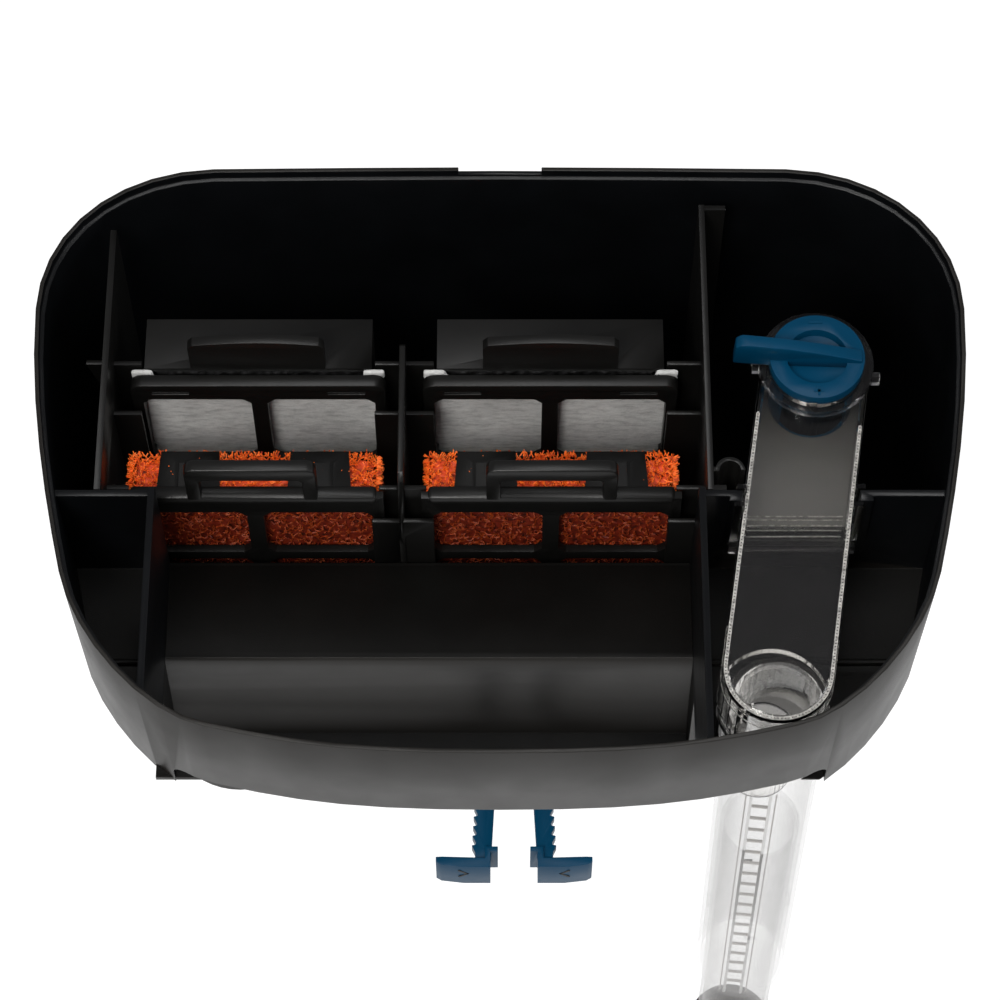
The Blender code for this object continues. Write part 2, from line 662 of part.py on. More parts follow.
def pump():
    top, floor = -112.0, BOTTOM_Z + WALL + 0.4
    cover = disc(PUMP, (floor + 0.2, top), 27.5, sides=48)
    cover = join(cover, disc(PUMP, (top - 1, -88), 18.2))
    cover = cut(
        cover,
        disc(PUMP, (floor - 5, top - 2), 19.5),
        disc(PUMP, (top - 1.9, -86), 15.46),
        disc(PUMP, (floor - 5, top + 2), 9.5),
        block((PUMP.x - 8, PUMP.x + 8), (PUMP.y, PUMP.y + 40), (floor + 3, top - 4)),
        disc(PUMP, (floor - 5, floor + 6), 25.0),
    )
    hub = disc(PUMP, (top - 4, top + 1), 4.6, sides=24)
    spokes = [
        block((PUMP.x - 12, PUMP.x + 12), (PUMP.y - 0.9, PUMP.y + 0.9), (top - 1.9, top - 0.1)),
        block((PUMP.x - 0.9, PUMP.x + 0.9), (PUMP.y - 12, PUMP.y + 12), (top - 1.9, top - 0.1)),
    ]
    cover = join(cover, hub, *spokes)
    cover = cut(cover, disc(PUMP, (top - 6, top - 0.6), 3.1, sides=24))
    place(cover, "impeller_cover", "black_inner")

    bore_r, shaft_r = 1.58, 1.5
    impeller = disc(PUMP, (-144, top - 5), 5.0, sides=24)
    blades = []
    for i in range(6):
        blade = block((3, 16), (-0.8, 0.8), (-132, top - 6))
        spin = Matrix.Rotation(math.pi * i / 3, 4, "Z")
        blade.data.transform(Matrix.Translation(PUMP) @ spin)
        blades.append(blade)
    impeller = join(impeller, disc(PUMP, (-133.2, -131.6), 14.0), *blades)
    impeller = cut(impeller, disc(PUMP, (-150, top), bore_r, sides=24))
    place(impeller, "impeller", "blue_plastic", PUMP)

    magnet = ring(PUMP, (-173, -144.3), 9.0, bore_r + 0.2, sides=32)
    place(magnet, "rotor_magnet", "ferrite", PUMP)
    place(disc(PUMP, (-175.4, top - 1.4), shaft_r, sides=24), "pump_shaft", "ceramic")
    place(ring(PUMP, (top - 4, top - 0.9), 2.8, 1.6, sides=24), "bush_top", "rubber")

    can = disc(PUMP, (-143, BOTTOM_Z - GAP), 30.5, sides=48)
    can = join(can, disc(PUMP, (-140, -134.4), 23.6), disc(PUMP, (-180.5, -141), 12.0))
    can = cut(can, disc(PUMP, (-177, -120), 10.2))
    place(can, "rotor_can", "black_inner")
    place(ring(PUMP, (-176.7, -173.4), 4.4, 1.6, sides=24), "bush_bottom", "rubber")
    seal = ring(PUMP, (BOTTOM_Z + 0.3, BOTTOM_Z + 2), 23.92, 23.66, sides=48)
    place(seal, "can_seal", "rubber")

    cup = disc(PUMP, (-189, -143 - GAP), 30.5, sides=48)
    cup = cut(cup, disc(PUMP, (-186.5, -120), 28.0))
    port = lying_disc(PUMP.x, -166, (PUMP.y + 20, PUMP.y + 40), 5.2, 24)
    cup = cut(cup, port)
    place(cup, "motor_cup", "black_shell")

    core = block((PUMP.x - 24, PUMP.x + 24), (PUMP.y - 13, PUMP.y + 8), (-168, -151))
    core = cut(core, disc(PUMP, (-200, -140), 12.4))
    core = cut(core, block((PUMP.x - 4, PUMP.x + 4), (PUMP.y + 5, PUMP.y + 30), (-FAR, 0)))
    place(core, "stator_core", "steel")
    for side, name in ((-1, "coil_left"), (1, "coil_right")):
        x = PUMP.x + side * 17.5
        coil = block((x - 4.0, x + 4.0), (PUMP.y - 16.5, PUMP.y + 11.5), (-171.5, -147.5))
        coil = cut(coil, block((x - 9, x + 9), (PUMP.y - 13.3, PUMP.y + 8.3), (-168.3, -150.7)))
        place(coil, name, "copper")
    y = PUMP.y
    gland = lying_disc(PUMP.x, -166, (y + 26.5, y + 38), 4.9, 24)
    gland = join(gland, lying_disc(PUMP.x, -166, (y + 31, y + 34), 6.6, 24))
    gland = cut(gland, lying_disc(PUMP.x, -166, (y + 20, y + 45), 3.0, 24))
    place(gland, "cable_gland", "rubber")


# ---------------------------------------------------------------- cartridges


def chamfered(low, high, corner):
    """A rectangle with cut corners, as an outline."""
    (x0, z0), (x1, z1) = low, high
    c = corner
    return [
        (x0 + c, z0), (x1 - c, z0), (x1, z0 + c), (x1, z1 - c),
        (x1 - c, z1), (x0 + c, z1), (x0, z1 - c), (x0, z0 + c),
    ]  # fmt: skip


def window_cutters(x, top, heights, y):
    """Two columns of chamfered windows below a height."""
    cutters = []
    for height in heights:
        for side in (-1, 1):
            near = x + side * MULLION_W / 2
            far = near + side * WINDOW_W
            low, high = sorted((near, far))
            outline = chamfered((low, top - height), (high, top), 2.6)
            cutters.append(facing(outline, *y, FACING_FRONT))
        top -= height + 5.0
    return cutters


def foam_cartridge(x, side):
    """A front frame with windows, a bail handle and fold-over tabs, around a foam block."""
    half = CARTRIDGE_W / 2
    y = FOAM_FACE_Y
    bottom = CARTRIDGE_BOTTOM_Z
    frame = block((x - half, x + half), (y, y + 2.6), (bottom, 40))
    frame = cut(frame, *window_cutters(x, 30.3, (28.6, 40, 36, 24), (y - 5, y + 6)))
    top_bar = rounded(block((x - half + 2, x + half - 2), (y - 0.6, y + 4.6), (36.4, 41)), 1.6)
    tray = block((x - 39.6, x + 39.6), (y + 1, y + 20), (bottom + 0.2, bottom + 2))
    back = block((x - 39.2, x + 39.2), (y + 18, y + 19.6), (bottom + 1, bottom + 26))
    frame = join(frame, top_bar, tray, back)
    arch = [(21, 39), (21, 56.6), (20.2, 58.6), (18, 59.4)]
    arch = arch + [(-gx, gz) for gx, gz in reversed(arch)]
    arch += [(-16.4, 39), (-16.4, 51), (-15, 52.4), (15, 52.4), (16.4, 51), (16.4, 39)]
    bail = facing([(x + gx, gz) for gx, gz in arch], y - 0.4, y + 4, FACING_FRONT)
    frame = join(frame, rounded(bail, 1.0))
    for s in (-1, 1):
        tab = [(x + s * 10.8, 0), (x + s * 31.6, 0), (x + s * 30.4, 16), (x + s * 11.6, 16)]
        tab = prism(tab, 36.6, 38.2)
        tab.data.transform(Matrix.Translation((0, y + 2.2, 0)))
        ribs = [
            block((x + s * dx - 0.5, x + s * dx + 0.5), (y + 3, y + 14), (37.5, 39.2)) for dx in (18, 25)
        ]
        frame = join(frame, tab, *ribs)
    place(frame, f"foam_frame_{side}", "black_inner", (x, y, 0))
    foam = block(
        (x - 39.6, x + 39.6),
        (y + 2.6 + GAP, y + 17.6),
        (bottom + 2 + GAP, 36.2),
    )
    place(foam, f"foam_block_{side}", "orange_foam", (x, y, 0))


def fleece_cartridge(x, side):
    """A face frame, a fleece sheet, and a media box with a grip, which lift out as one."""
    half = CARTRIDGE_W / 2
    y = FLEECE_FACE_Y
    top, bottom = 40.0, CARTRIDGE_BOTTOM_Z
    corner = 4.0
    outline = [(x - half + 3, bottom), (x + half - 3, bottom), (x + half, top - corner)]
    for i in range(1, 5):
        a = math.pi / 2 * i / 4
        outline.append((x + half - corner + corner * math.cos(a), top - corner + corner * math.sin(a)))
    outline += [(2 * x - px, pz) for px, pz in reversed(outline[2:])]
    face = facing(outline, y, y + 4.4, FACING_FRONT)
    hollow = chamfered((x - half + 4.6, bottom + 4), (x + half - 4.6, top - 4.5), 2)
    face = cut(
        face,
        *window_cutters(x, 31.0, (40, 44, 40), (y - 5, y + 9)),
        facing(hollow, y + 2.2, y + 9, FACING_FRONT),
    )
    slots = [block((x + s * 29 - 6.3, x + s * 29 + 6.3), (y - 1, y + 0.9), (34.4, 36.2)) for s in (-1, 1)]
    face = cut(face, *slots)
    place(face, f"fleece_face_{side}", "black_inner", (x, y, 0))

    sheet_y = (y + 4.4 + GAP, y + 6.4)
    fleece = block((x - half + 3.4, x + half - 3.4), sheet_y, (bottom + 2, top - 0.6))
    ears = [
        block((x + s * (half - 3.6) - 3.4, x + s * (half - 3.6) + 3.4), sheet_y, (top - 4, top + 0.7))
        for s in (-1, 1)
    ]
    place(join(fleece, *ears), f"fleece_sheet_{side}", "white_fleece", (x, y, 0))

    box_y = (y + 6.4 + GAP, y + 25.5)
    box_half = 37.4
    box = block((x - box_half, x + box_half), box_y, (bottom, top))
    hollow = block(
        (x - box_half + 1.8, x + box_half - 1.8),
        (box_y[0] - 3, box_y[1] - 1.8),
        (bottom + 1.8, top - 1.8),
    )
    box = cut(box, hollow)
    vents = [
        block((x - 31, x + 31), (box_y[1] - 1.9, box_y[1] + 3), (z, z + 5)) for z in range(-104, 20, 20)
    ]
    box = cut(box, *vents)
    grip = [(-22.2, top - 1)]
    grip += [(-22.2, 52.6), (-20.6, 54.8)]
    grip += [(-20.6 + 41.2 * i / 8, 54.8 + 1.7 * math.sin(math.pi * i / 8)) for i in range(1, 8)]
    grip += [(20.6, 54.8), (22.2, 52.6), (22.2, top - 1)]
    grip = facing([(x + gx, gz) for gx, gz in grip], box_y[0], box_y[0] + 3.4, FACING_FRONT)
    grip = rounded(grip, 0.9)
    box = join(box, grip)
    place(box, f"media_box_{side}", "black_inner", (x, y, 0))
    media = block(
        (x - box_half + 2.2, x + box_half - 2.2),
        (box_y[0] + 0.2, box_y[1] - 2.2),
        (bottom + 2.2, top - 2.2),
    )
    place(media, f"carbon_media_{side}", "carbon", (x, y, 0))


# ---------------------------------------------------------------- clamp


def clamp_arm(side, name):
    """A toothed arm with an eye on its pivot, a push pad at its front and a stop tab."""
    z = (ARM_PIVOT.z - ARM_HALF_H, ARM_PIVOT.z + ARM_HALF_H)
    length = ARM_PIVOT.y - PAD_FRONT_Y - 3.4
    half = ARM_W / 2
    outline = [(-half, 0), (-half, -length), (half, -length)]
    for i in range(10):
        y = -length + 2.4 + i * TOOTH_PITCH
        outline += [(half, y), (half + TOOTH_DEPTH, y + 2.4), (half, y + 2.8)]
    outline += [(half, 0)]
    arm = join(prism(outline, *z), disc((0, 0), z, 2.7, sides=24))
    arm = cut(arm, disc((0, 0), (z[0] - 3, z[1] + 3), 1.32, sides=24))
    arm.data.transform(Matrix.Rotation(math.radians(3.1), 4, "Z"))
    arm.data.transform(Matrix.Translation((ARM_PIVOT.x, ARM_PIVOT.y, 0)))
    inner, face, top = 7.9, PAD_FRONT_Y, ARM_PIVOT.z + ARM_HALF_H + 2.2
    curve = [(inner, face), (inner + 9, face), (24.4, face + 0.9), (26.1, face + 1.9)]
    curve += [(26.1, face + 3.6), (24, face + 3.7), (inner + 1.9, face + 3.3)]
    curve += [(inner + 1.9, face + 7.3), (inner - 2.5, face + 7.3), (inner - 2.5, face + 5.6)]
    curve += [(inner, face + 5.6)]
    arm = join(arm, rounded(prism(curve, top - 15.3, top), 0.5))
    if side < 0:
        arm.data.transform(Matrix.Diagonal((-1, 1, 1, 1)))
        arm.data.flip_normals()
    arm.data.transform(Matrix.Translation((CLAMP_X, 0, 0)))
    place(arm, name, "blue_plastic", (CLAMP_X + side * ARM_PIVOT.x, ARM_PIVOT.y, ARM_PIVOT.z))


def clamp():
    """The two arms on pins of the press plate, which slides towards the glass."""
    clamp_arm(-1, "clamp_arm_left")
    clamp_arm(1, "clamp_arm_right")
    plate = rounded(block((CLAMP_X - 30, CLAMP_X + 30), (-13.6, -11.2), (-68, -34)), 0.8)
    for side in (-1, 1):
        x = CLAMP_X + side * ARM_PIVOT.x
        for z in ((ARM_PIVOT.z - 4.7, ARM_PIVOT.z - 2.5), (ARM_PIVOT.z + 2.5, ARM_PIVOT.z + 4.7)):
            plate = join(plate, block((x - 2.8, x + 2.8), (-20.2, -12.6), z))
        pin = disc((x, ARM_PIVOT.y), (ARM_PIVOT.z - 3, ARM_PIVOT.z + 3), 1.25, sides=24)
        plate = join(plate, pin)
    place(plate, "clamp_plate", "blue_plastic", (CLAMP_X, -11.2, ARM_PIVOT.z))
    pad = rounded(block((CLAMP_X - 28, CLAMP_X + 28), (-10.9, -9.2), (-66, -36)), 0.5)
    place(pad, "clamp_pad", "rubber", (CLAMP_X, -11.2, ARM_PIVOT.z))


# ---------------------------------------------------------------- build

clear_scene()
PARTS = bpy.data.collections.new(COLLECTION)
bpy.context.scene.collection.children.link(PARTS)
MATERIALS = {
    "black_shell": material("black_shell", (0.045, 0.043, 0.04), 0.45),
    "black_inner": material("black_inner", (0.02, 0.02, 0.02), 0.4),
    "clear_plastic": material("clear_plastic", (0.93, 0.93, 0.92), 0.05, transmission=0.9),
    "blue_plastic": material("blue_plastic", (0.0, 0.09, 0.17), 0.35),
    "orange_foam": material("orange_foam", (0.8, 0.14, 0.02), 0.9),
    "white_fleece": material("white_fleece", (0.62, 0.62, 0.6), 0.95),
    "carbon": material("carbon", (0.03, 0.03, 0.03), 0.9),
    "rubber": material("rubber", (0.02, 0.02, 0.02), 0.7),
    "ferrite": material("ferrite", (0.06, 0.06, 0.065), 0.5, 0.3),
    "ceramic": material("ceramic", (0.85, 0.85, 0.82), 0.25),
    "steel": material("steel", (0.4, 0.4, 0.42), 0.4, 1.0),
    "copper": material("copper", (0.5, 0.2, 0.08), 0.4, 1.0),
}
filter_body()
level_foot()
dividers()
intake_elbow()
intake_tubes()
flow_knob()
pump()
for bay_x, bay_side in zip(BAY_X, ("left", "right")):
    foam_cartridge(bay_x, bay_side)
    fleece_cartridge(bay_x, bay_side)
clamp()
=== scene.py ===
"""Looks, light and camera for the hang-on aquarium filter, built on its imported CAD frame."""

import json
import math
import random

import bpy
import numpy as np
from mathutils import Matrix, Vector, kdtree, noise as perlin
from mathutils.bvhtree import BVHTree


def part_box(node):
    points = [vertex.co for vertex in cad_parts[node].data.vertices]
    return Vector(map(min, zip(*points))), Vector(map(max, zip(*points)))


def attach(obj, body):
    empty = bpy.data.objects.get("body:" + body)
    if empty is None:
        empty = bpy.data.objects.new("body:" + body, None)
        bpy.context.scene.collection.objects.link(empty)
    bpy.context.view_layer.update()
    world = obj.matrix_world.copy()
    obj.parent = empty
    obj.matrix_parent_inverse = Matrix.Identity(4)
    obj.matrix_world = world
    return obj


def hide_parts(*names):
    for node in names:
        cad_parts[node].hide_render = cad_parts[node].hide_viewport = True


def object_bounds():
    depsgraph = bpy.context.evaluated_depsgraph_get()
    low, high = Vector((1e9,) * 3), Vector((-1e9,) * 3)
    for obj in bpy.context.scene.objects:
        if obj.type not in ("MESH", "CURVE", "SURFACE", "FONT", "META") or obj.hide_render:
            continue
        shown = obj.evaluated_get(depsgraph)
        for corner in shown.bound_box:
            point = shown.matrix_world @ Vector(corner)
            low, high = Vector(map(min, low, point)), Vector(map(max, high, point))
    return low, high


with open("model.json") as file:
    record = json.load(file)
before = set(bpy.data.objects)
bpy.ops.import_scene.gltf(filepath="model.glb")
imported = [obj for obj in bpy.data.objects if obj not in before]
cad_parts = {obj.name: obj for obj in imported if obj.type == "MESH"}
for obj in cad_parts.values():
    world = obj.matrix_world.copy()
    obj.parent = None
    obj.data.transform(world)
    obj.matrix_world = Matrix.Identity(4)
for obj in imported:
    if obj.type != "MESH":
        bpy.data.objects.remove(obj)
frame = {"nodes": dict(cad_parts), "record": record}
CAD_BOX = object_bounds()
NODES = frame["nodes"]
MM = 0.001


# ---------------------------------------------------------------- small tools


def new_piece(name, verts, faces, material, body, slot, smooth=False):
    """A mesh piece from points and faces in the row frame, riding on a body."""
    mesh = bpy.data.meshes.new(name)
    mesh.from_pydata([tuple(v) for v in verts], [], faces)
    mesh.validate()
    piece = bpy.data.objects.new(name, mesh)
    bpy.context.scene.collection.objects.link(piece)
    mesh.materials.append(material)
    if smooth:
        mesh.shade_smooth()
    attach(piece, body)
    return piece


def soften(piece, width, segments=2, angle=32, smooth=True):
    """Rounds a piece's sharp edges by modifiers, with even shading."""
    if smooth:
        piece.data.polygons.foreach_set("use_smooth", [True] * len(piece.data.polygons))
    weld = piece.modifiers.new("weld", "WELD")
    weld.merge_threshold = 0.01 * MM
    bevel = piece.modifiers.new("bevel", "BEVEL")
    bevel.width = width
    bevel.segments = segments
    bevel.limit_method = "ANGLE"
    bevel.angle_limit = math.radians(angle)
    bevel.miter_outer = "MITER_ARC"
    bevel.harden_normals = smooth


# ---------------------------------------------------------------- materials

ACRYLIC_IOR = 1.46


class Shader:
    """A Principled material with short helpers for its nodes."""

    def __init__(self, name, color, roughness, metallic=0.0, specular=0.5):
        self.made = bpy.data.materials.new(name)
        self.made.use_nodes = True
        self.tree = self.made.node_tree
        self.bsdf = self.tree.nodes["Principled BSDF"]
        self.set("Base Color", (*color, 1))
        self.set("Roughness", roughness)
        self.set("Metallic", metallic)
        self.set("Specular IOR Level", specular)
        self.place = self.tree.nodes.new("ShaderNodeTexCoord").outputs["Object"]
        self.normal = None

    def set(self, name, value):
        self.bsdf.inputs[name].default_value = value

    def link(self, a, b):
        self.tree.links.new(a, b)

    def stretched(self, scale):
        node = self.tree.nodes.new("ShaderNodeMapping")
        node.inputs["Scale"].default_value = scale
        self.link(self.place, node.inputs["Vector"])
        return node.outputs["Vector"]

    def noise(self, scale, detail=3.0, place=None, rough=0.5):
        node = self.tree.nodes.new("ShaderNodeTexNoise")
        node.inputs["Scale"].default_value = scale
        node.inputs["Detail"].default_value = detail
        node.inputs["Roughness"].default_value = rough
        self.link(place or self.place, node.inputs["Vector"])
        return node.outputs["Fac"]

    def cells(self, scale):
        node = self.tree.nodes.new("ShaderNodeTexVoronoi")
        node.inputs["Scale"].default_value = scale
        self.link(self.place, node.inputs["Vector"])
        return node.outputs["Distance"]

    def ramp(self, fac, stops):
        node = self.tree.nodes.new("ShaderNodeValToRGB")
        while len(node.color_ramp.elements) < len(stops):
            node.color_ramp.elements.new(0.5)
        for element, (position, color) in zip(node.color_ramp.elements, stops):
            element.position = position
            element.color = (*color, 1) if len(color) == 3 else color
        self.link(fac, node.inputs["Fac"])
        return node.outputs["Color"]

    def remap(self, fac, low, high, start=0.3, end=0.7):
        node = self.tree.nodes.new("ShaderNodeMapRange")
        limits = {"From Min": start, "From Max": end, "To Min": low, "To Max": high}
        for name, value in limits.items():
            node.inputs[name].default_value = value
        self.link(fac, node.inputs["Value"])
        return node.outputs["Result"]

    def times(self, a, b, factor=1.0):
        """Colour a multiplied by colour b."""
        node = self.tree.nodes.new("ShaderNodeMix")
        node.data_type = "RGBA"
        node.blend_type = "MULTIPLY"
        node.inputs["Factor"].default_value = factor
        self.link(a, node.inputs["A"])
        self.link(b, node.inputs["B"])
        return node.outputs["Result"]

    def axes(self):
        """The place's X, Y and Z, each as a number."""
        node = self.tree.nodes.new("ShaderNodeSeparateXYZ")
        self.link(self.place, node.inputs["Vector"])
        return node.outputs

    def bands(self, scale, strength):
        """Fine level grooves, as of wound wire or stacked sheets."""
        node = self.tree.nodes.new("ShaderNodeTexWave")
        node.wave_type = "BANDS"
        node.bands_direction = "Z"
        node.inputs["Scale"].default_value = scale
        self.link(self.place, node.inputs["Vector"])
        self.bump(node.outputs["Fac"], strength, 0.0002)

    def bump(self, height, strength, distance):
        node = self.tree.nodes.new("ShaderNodeBump")
        node.inputs["Strength"].default_value = strength
        node.inputs["Distance"].default_value = distance
        self.link(height, node.inputs["Height"])
        if self.normal is not None:
            self.link(self.normal, node.inputs["Normal"])
        self.normal = node.outputs["Normal"]
        self.link(self.normal, self.bsdf.inputs["Normal"])

    def round_edges(self, radius):
        node = self.tree.nodes.new("ShaderNodeBevel")
        node.samples = 6
        node.inputs["Radius"].default_value = radius
        self.normal = node.outputs["Normal"]
        self.link(self.normal, self.bsdf.inputs["Normal"])


def moulded(name, color, roughness, grain=0.3, spread=0.12, specular=0.5, edges=0.0):
    """Moulded plastic: spark-eroded grain, faint flow marks and an uneven gloss."""
    s = Shader(name, color, roughness, specular=specular)
    if edges:
        s.round_edges(edges)
    dark = tuple(c * (1 - spread) for c in color)
    light = tuple(min(1, c * (1 + spread)) for c in color)
    s.link(s.ramp(s.noise(38, 4), [(0.35, dark), (0.65, light)]), s.bsdf.inputs["Base Color"])
    s.link(s.remap(s.noise(90, 3), roughness - 0.02, roughness + 0.03), s.bsdf.inputs["Roughness"])
    s.bump(s.noise(2600, 2), grain, 0.00012)
    return s


def clear(name, tint, roughness):
    """Clear acrylic with slightly wavy walls."""
    s = Shader(name, tint, roughness)
    s.set("Transmission Weight", 1.0)
    s.set("IOR", ACRYLIC_IOR)
    s.link(s.remap(s.noise(120, 3), roughness, roughness + 0.05), s.bsdf.inputs["Roughness"])
    s.bump(s.noise(60, 2), 0.12, 0.0004)
    return s


def thin_clear(name, color, roughness, face_on, edge_on):
    """A clear tube's thin wall: nearly unseen face on, and grey and more opaque where it turns edge on,
    a painted reflection for the light the wall bends and reflects at its edges.
    """
    s = Shader(name, color, roughness)
    # Painted reflection: opacity rises as the view grazes the wall, so the tube's edges show a grey
    # band.
    facing = s.tree.nodes.new("ShaderNodeLayerWeight")
    facing.inputs["Blend"].default_value = 0.5
    levels = [(0.0, face_on), (0.55, face_on * 1.3), (0.85, edge_on * 0.55), (1.0, edge_on)]
    stops = [(position, (level, level, level)) for position, level in levels]
    s.link(s.ramp(facing.outputs["Facing"], stops), s.bsdf.inputs["Alpha"])
    s.link(s.remap(s.noise(120, 3), roughness, roughness + 0.05), s.bsdf.inputs["Roughness"])
    return s


def foam_shader(name, bright, deep):
    """Orange foam: painted bright at its top and darker lower down, as painted shade among the pores."""
    s = Shader(name, bright, 0.62, specular=0.35)
    light = tuple(min(1, c * 1.15 + 0.05) for c in bright)
    fibres = s.ramp(s.noise(420, 3), [(0.3, deep), (0.5, bright), (0.74, light)])
    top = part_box("foam_block_left")[1].z
    # Painted shade: the colour darkens from 3 mm to 14 mm below the foam's top, standing in for the
    # shade deeper in the block.
    height = s.remap(s.axes()["Z"], 0, 1, top - 14 * MM, top - 3 * MM)
    painted_shade_by_height = s.ramp(height, [(0, (0.3, 0.22, 0.2)), (1, (1, 1, 1))])
    s.link(s.times(fibres, painted_shade_by_height), s.bsdf.inputs["Base Color"])
    s.set("Subsurface Weight", 0.15)
    s.set("Subsurface Radius", (0.002, 0.0007, 0.0002))
    s.bump(s.cells(900), 0.4, 0.0002)
    return s


def fleece_shader():
    """White felt with drawn-out fibres and faint grey clouds."""
    s = Shader("white_fleece", (0.6, 0.6, 0.58), 0.95, specular=0.15)
    s.set("Sheen Weight", 0.4)
    s.set("Sheen Roughness", 0.6)
    fibres = s.noise(150, 6, s.stretched((1.0, 2.0, 3.2)), 0.72)
    threads = s.ramp(
        fibres, [(0.3, (0.4, 0.4, 0.39)), (0.5, (0.72, 0.72, 0.7)), (0.68, (0.9, 0.9, 0.88))]
    )
    clouds = s.ramp(s.noise(34, 3), [(0.35, (0.72, 0.72, 0.72)), (0.65, (1, 1, 1))])
    s.link(s.times(threads, clouds, 0.75), s.bsdf.inputs["Base Color"])
    s.bump(s.noise(900, 5, s.stretched((1.0, 1.5, 2.6)), 0.7), 0.8, 0.0006)
    return s


def wound_copper():
    s = Shader("enamelled_copper", (0.42, 0.13, 0.04), 0.3, metallic=1.0)
    s.bands(600, 0.9)
    return s


def laminated():
    s = Shader("stator_laminations", (0.35, 0.35, 0.37), 0.38, metallic=1.0)
    s.bands(320, 0.6)
    return s


def granules():
    s = Shader("carbon_granules", (0.02, 0.02, 0.021), 0.5)
    stones = s.ramp(s.cells(420), [(0.1, (0.05, 0.05, 0.052)), (0.7, (0.008, 0.008, 0.008))])
    s.link(stones, s.bsdf.inputs["Base Color"])
    s.bump(s.cells(420), 1.0, 0.001)
    return s


EDGE_R = 0.6 * MM
SHELL_OUT = moulded(
    "shell_outside", (0.0125, 0.0112, 0.0096), 0.42, grain=0.28, spread=0.04, specular=0.27, edges=EDGE_R
)
# The inside and spillway floor copies of the shell are the same plastic painted darker than the outside:
# painted shade, with their own roughness and gloss.
SHELL_IN_PAINTED_SHADE = moulded(
    "shell_inside_painted_shade", (0.0026, 0.003, 0.0036), 0.3, grain=0.2, spread=0.2, specular=0.3, edges=EDGE_R
)
SPILL_PAINTED_SHADE = moulded(
    "spillway_floor_painted_shade", (0.0042, 0.004, 0.0036), 0.5, grain=0.6, spread=0.15, specular=0.11, edges=EDGE_R
)
INNER = moulded("inner_black", (0.0062, 0.006, 0.0055), 0.36, grain=0.3, spread=0.15, specular=0.3)
BLUE = moulded("blue_plastic", (0.0, 0.042, 0.094), 0.38, grain=0.12, spread=0.06, specular=0.13)
CLEAR = clear("clear_acrylic", (0.86, 0.85, 0.82), 0.02)
TUBE_CLEAR = thin_clear("clear_tube", (0.66, 0.65, 0.64), 0.08, 0.02, 0.5)
FOAM = foam_shader("orange_foam", (1.0, 0.17, 0.012), (0.4, 0.03, 0.004))
# The core's foam copy is painted darker than the net's: painted shade deep among the pores.
FOAM_CORE_PAINTED_SHADE = foam_shader("orange_foam_core_painted_shade", (0.62, 0.06, 0.005), (0.1, 0.01, 0.002))
FLEECE = fleece_shader()
RUBBER = moulded("black_rubber", (0.018, 0.018, 0.018), 0.62, grain=0.5, spread=0.1, specular=0.3)
FERRITE = moulded("ferrite", (0.03, 0.03, 0.033), 0.42, grain=0.4)
CERAMIC = moulded("ceramic", (0.78, 0.77, 0.73), 0.2, grain=0.05, spread=0.03)
COPPER = wound_copper()
STEEL = laminated()
CARBON = granules()
LOOKS = {
    "black_shell": SHELL_OUT, "black_inner": INNER, "clear_plastic": CLEAR, "blue_plastic": BLUE,
    "orange_foam": FOAM, "white_fleece": FLEECE, "carbon": CARBON, "rubber": RUBBER,
    "ferrite": FERRITE, "ceramic": CERAMIC, "steel": STEEL, "copper": COPPER,
}  # fmt: skip


def paint(node, shader):
    mesh = NODES[node].data
    mesh.materials.clear()
    mesh.materials.append(shader.made)
    for polygon in mesh.polygons:
        polygon.material_index = 0


# ---------------------------------------------------------------- the CAD's own nodes


def dress_cad_nodes():
    for part in frame["record"]["subparts"]:
        paint(part["node"], LOOKS[part["material_slot"]])
    for tube in ("intake_tube", "extension_tube"):
        paint(tube, TUBE_CLEAR)
    widths = {
        "divider_left": 0.35, "divider_middle": 0.35, "divider_right": 0.35, "flow_knob": 0.45,
        "clamp_arm_left": 0.2, "clamp_arm_right": 0.2, "clamp_plate": 0.3, "level_foot": 0.5,
        "motor_cup": 0.8, "rotor_can": 0.4, "impeller_cover": 0.4, "strainer": 0.3, "impeller": 0.2,
    }  # fmt: skip
    for side in ("left", "right"):
        widths[f"foam_frame_{side}"] = 0.35
        widths[f"fleece_face_{side}"] = 0.5
        widths[f"media_box_{side}"] = 0.4
    for node, width in widths.items():
        soften(NODES[node], width * MM)


SPILL_TOP = 4 * MM


def shade_painted_shell():
    """Satin grey-black outside; inside, the same plastic is painted darker as painted shade, smoother on
    the walls and dull on the spillway floor.

    A face is outside when a level line from it meets no other part of the moulding; enclosed faces take
    the painted shade.
    """
    body = NODES["filter_body"]
    mesh = body.data
    mesh.materials.clear()
    for shader in (SHELL_OUT, SHELL_IN_PAINTED_SHADE, SPILL_PAINTED_SHADE):
        mesh.materials.append(shader.made)
    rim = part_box("filter_body")[1].z
    face_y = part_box("divider_left")[0].y
    tree = BVHTree.FromPolygons([v.co for v in mesh.vertices], [p.vertices for p in mesh.polygons])
    for polygon in mesh.polygons:
        n, c = polygon.normal, polygon.center
        flat = Vector((n.x, n.y, 0))
        if n.z > 0.7:
            outside = c.z > rim - 0.5 * MM
        elif n.z < -0.7:
            outside = True
        else:
            flat.normalize()
            outside = tree.ray_cast(c + flat * 0.4 * MM, flat)[0] is None
        # Painted shade: enclosed faces take the darker inside copy, and the spillway floor takes its own
        # darker copy.
        index = 0 if outside else 1
        if not outside and c.y < face_y and c.z < SPILL_TOP:
            index = 2
        polygon.material_index = index
    soften(body, 0.3 * MM, segments=2, angle=30)


dress_cad_nodes()
shade_painted_shell()


# ---------------------------------------------------------------- foam

FOAM_PITCH = 1.5 * MM
STRUT_R = 0.22 * MM
LOOSE_STRANDS = 2000


